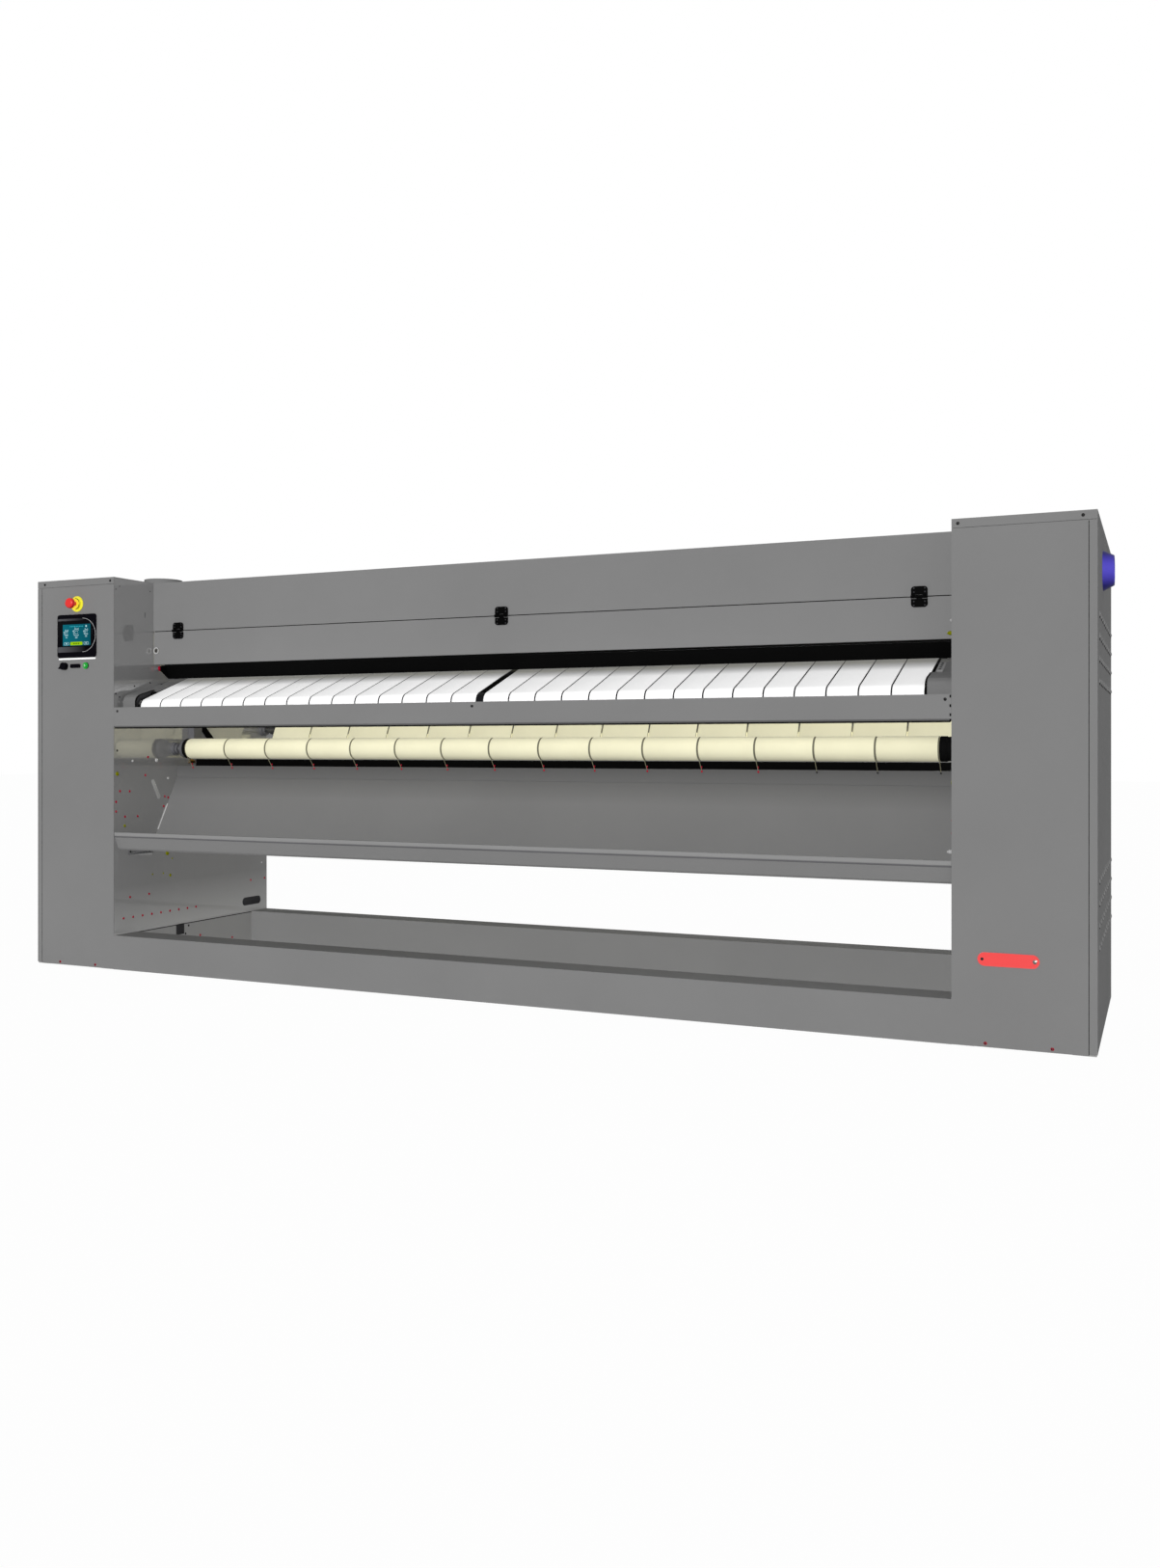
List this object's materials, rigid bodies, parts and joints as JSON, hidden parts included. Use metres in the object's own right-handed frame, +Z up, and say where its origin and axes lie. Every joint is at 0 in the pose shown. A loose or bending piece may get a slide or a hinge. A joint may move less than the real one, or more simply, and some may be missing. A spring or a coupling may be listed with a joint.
{
  "type": "flatwork ironer",
  "caption": "Industrial roller flatwork ironer: belts feed linen over a heated cylinder between two cabinets and return it to a front trough.",
  "frame": {"origin": "middle of the bounding box on the floor", "axes": "+X along the cylinder to the machine's right seen from the feeding side, +Y from the feeding side to the back, +Z up"},
  "size_m": [3.795, 0.948, 1.5],
  "materials": {
    "painted_steel": "satin grey powder coat",
    "wall_steel": "glossy grey paint",
    "white_belt": "smooth coated belt",
    "cream_belt": "dense needled felt and aramid belt",
    "black_paint": "satin black",
    "black_plastic": "fine moulded",
    "roller_steel": "zinc plated",
    "polished_steel": "polished",
    "cast_housing": "painted casting",
    "motor_paint": "satin blue grey",
    "cord": "twisted cord",
    "hook_red": "moulded",
    "stop_red": "moulded",
    "stop_yellow": "moulded",
    "plate_red": "satin red",
    "screw_red": "lacquered head",
    "start_green": "lit lens",
    "light_white": "lit lens",
    "screen_glass": "lit display",
    "spigot_blue": "moulded",
    "lock_nickel": "nickel plated",
    "galvanised": "galvanised"
  },
  "bodies": {
    "frame": {"base_beams": "painted_steel", "base_side_members": "painted_steel", "burner_tube": "galvanised", "cabinet_rear_covers": "painted_steel", "cabinet_top_covers": "painted_steel", "chute_panel": "painted_steel", "control_mouldings": "black_plastic", "cord_hooks": "hook_red", "cylinder_bearings": "cast_housing", "display_screen": "screen_glass", "duct_spigot": "spigot_blue", "electrical_box": "painted_steel", "emergency_stop_collar": "stop_yellow", "exhaust_collar": "galvanised", "fan_housing": "galvanised", "feed_belts": "white_belt", "feed_end_covers": "painted_steel", "feed_front_beam": "painted_steel", "feed_table_plate": "galvanised", "gearmotor": "motor_paint", "hinge_pins": "roller_steel", "hinge_upper_leaves": "black_plastic", "hood_panel": "painted_steel", "ironing_belts": "cream_belt", "left_front_cover": "painted_steel", "left_inner_wall": "wall_steel", "left_side_cover": "painted_steel", "linen_trough": "painted_steel", "lower_rear_guard": "black_paint", "panel_screws": "screw_red", "rear_cover": "painted_steel", "return_belts": "cream_belt", "right_front_cover": "painted_steel", "right_inner_wall": "wall_steel", "right_side_cover": "painted_steel", "roller_bearings": "black_paint", "slot_cover_plate": "plate_red", "status_light_bar": "light_white", "strip_cords": "cord", "wall_brackets": "painted_steel"},
    "access_flap": {"access_flap": "painted_steel", "hinge_lower_leaves": "black_plastic"},
    "flap_lock_left": {"flap_lock_left": "lock_nickel"},
    "flap_lock_right": {"flap_lock_right": "lock_nickel"},
    "finger_guard": {"finger_guard": "black_paint"},
    "heated_cylinder": {"heated_cylinder": "polished_steel"},
    "fan_impeller": {"fan_impeller": "galvanised"},
    "emergency_stop_button": {"emergency_stop_button": "stop_red"},
    "start_button": {"start_button": "start_green"},
    "selector_knob": {"selector_knob": "black_plastic"},
    "feed_front_roller": {"feed_front_roller": "roller_steel"},
    "feed_rear_roller": {"feed_rear_roller": "roller_steel"},
    "nip_roller": {"nip_roller": "roller_steel"},
    "lower_rear_roller": {"lower_rear_roller": "roller_steel"},
    "upper_rear_roller": {"upper_rear_roller": "roller_steel"},
    "upper_front_roller": {"upper_front_roller": "roller_steel"},
    "return_front_roller": {"return_front_roller": "roller_steel"},
    "return_bend_roller": {"return_bend_roller": "roller_steel"},
    "return_upper_roller": {"return_upper_roller": "roller_steel"},
    "return_lower_roller": {"return_lower_roller": "roller_steel"}
  },
  "joints": [
    {"name": "flap_hinge", "type": "hinge", "parent": "frame", "child": "access_flap", "pos_m": [-0.0135, -0.2265, 1.263], "axis": [-1, 0, 0], "range_deg": [0, 170]},
    {"name": "flap_lock_left_turn", "type": "hinge", "parent": "access_flap", "child": "flap_lock_left", "pos_m": [-1.5015, -0.223, 1.19], "axis": [0, -1, 0], "range_deg": [0, 90]},
    {"name": "flap_lock_right_turn", "type": "hinge", "parent": "access_flap", "child": "flap_lock_right", "pos_m": [1.4745, -0.223, 1.19], "axis": [0, 1, 0], "range_deg": [0, 90]},
    {"name": "finger_guard_hinge", "type": "hinge", "parent": "frame", "child": "finger_guard", "pos_m": [-0.0135, -0.2, 1.123], "axis": [1, 0, 0], "range_deg": [0, 8]},
    {"name": "cylinder_spin", "type": "hinge", "parent": "frame", "child": "heated_cylinder", "pos_m": [-0.0135, 0.169, 1.168], "axis": [-1, 0, 0], "continuous": true},
    {"name": "fan_spin", "type": "hinge", "parent": "frame", "child": "fan_impeller", "pos_m": [1.6865, -0.105, 1.326], "axis": [1, 0, 0], "continuous": true},
    {"name": "emergency_stop_push", "type": "slide", "parent": "frame", "child": "emergency_stop_button", "axis": [0, 1, 0], "range_m": [0, 0.005], "stiffness_N_per_m": 600},
    {"name": "start_push", "type": "slide", "parent": "frame", "child": "start_button", "axis": [0, 1, 0], "range_m": [0, 0.0025], "stiffness_N_per_m": 400},
    {"name": "selector_turn", "type": "hinge", "parent": "frame", "child": "selector_knob", "pos_m": [-1.7545, -0.439, 1.125], "axis": [0, 1, 0], "range_deg": [0, 90]},
    {"name": "feed_front_roller_spin", "type": "hinge", "parent": "frame", "child": "feed_front_roller", "pos_m": [-0.0135, -0.346, 0.969], "axis": [-1, 0, 0], "continuous": true},
    {"name": "feed_rear_roller_spin", "type": "hinge", "parent": "frame", "child": "feed_rear_roller", "pos_m": [-0.0135, -0.1095, 1.0637], "axis": [-1, 0, 0], "continuous": true},
    {"name": "nip_roller_spin", "type": "hinge", "parent": "frame", "child": "nip_roller", "pos_m": [-0.0135, -0.1046, 1.13], "axis": [-1, 0, 0], "continuous": true},
    {"name": "lower_rear_roller_spin", "type": "hinge", "parent": "frame", "child": "lower_rear_roller", "pos_m": [-0.0135, 0.4426, 0.955], "axis": [-1, 0, 0], "continuous": true},
    {"name": "upper_rear_roller_spin", "type": "hinge", "parent": "frame", "child": "upper_rear_roller", "pos_m": [-0.0135, 0.4426, 1.408], "axis": [-1, 0, 0], "continuous": true},
    {"name": "upper_front_roller_spin", "type": "hinge", "parent": "frame", "child": "upper_front_roller", "pos_m": [-0.0135, -0.1046, 1.408], "axis": [-1, 0, 0], "continuous": true},
    {"name": "return_front_roller_spin", "type": "hinge", "parent": "frame", "child": "return_front_roller", "pos_m": [-0.0135, -0.1, 0.815], "axis": [-1, 0, 0], "continuous": true},
    {"name": "return_bend_roller_spin", "type": "hinge", "parent": "frame", "child": "return_bend_roller", "pos_m": [-0.0135, 0.372, 0.836], "axis": [-1, 0, 0], "continuous": true},
    {"name": "return_upper_roller_spin", "type": "hinge", "parent": "frame", "child": "return_upper_roller", "pos_m": [-0.0135, 0.446, 0.8943], "axis": [-1, 0, 0], "continuous": true},
    {"name": "return_lower_roller_spin", "type": "hinge", "parent": "frame", "child": "return_lower_roller", "pos_m": [-0.0135, 0.446, 0.7993], "axis": [-1, 0, 0], "continuous": true}
  ],
  "couplings": [
    {"joint": "feed_front_roller_spin", "follows": "cylinder_spin", "ratio": 8.1433},
    {"joint": "feed_rear_roller_spin", "follows": "cylinder_spin", "ratio": 10.121},
    {"joint": "nip_roller_spin", "follows": "cylinder_spin", "ratio": -12.5},
    {"joint": "lower_rear_roller_spin", "follows": "cylinder_spin", "ratio": -12.5},
    {"joint": "upper_rear_roller_spin", "follows": "cylinder_spin", "ratio": -12.5},
    {"joint": "upper_front_roller_spin", "follows": "cylinder_spin", "ratio": -12.5},
    {"joint": "return_front_roller_spin", "follows": "cylinder_spin", "ratio": -7.0028},
    {"joint": "return_bend_roller_spin", "follows": "cylinder_spin", "ratio": 12.5},
    {"joint": "return_upper_roller_spin", "follows": "cylinder_spin", "ratio": -12.5},
    {"joint": "return_lower_roller_spin", "follows": "cylinder_spin", "ratio": -12.5}
  ]
}
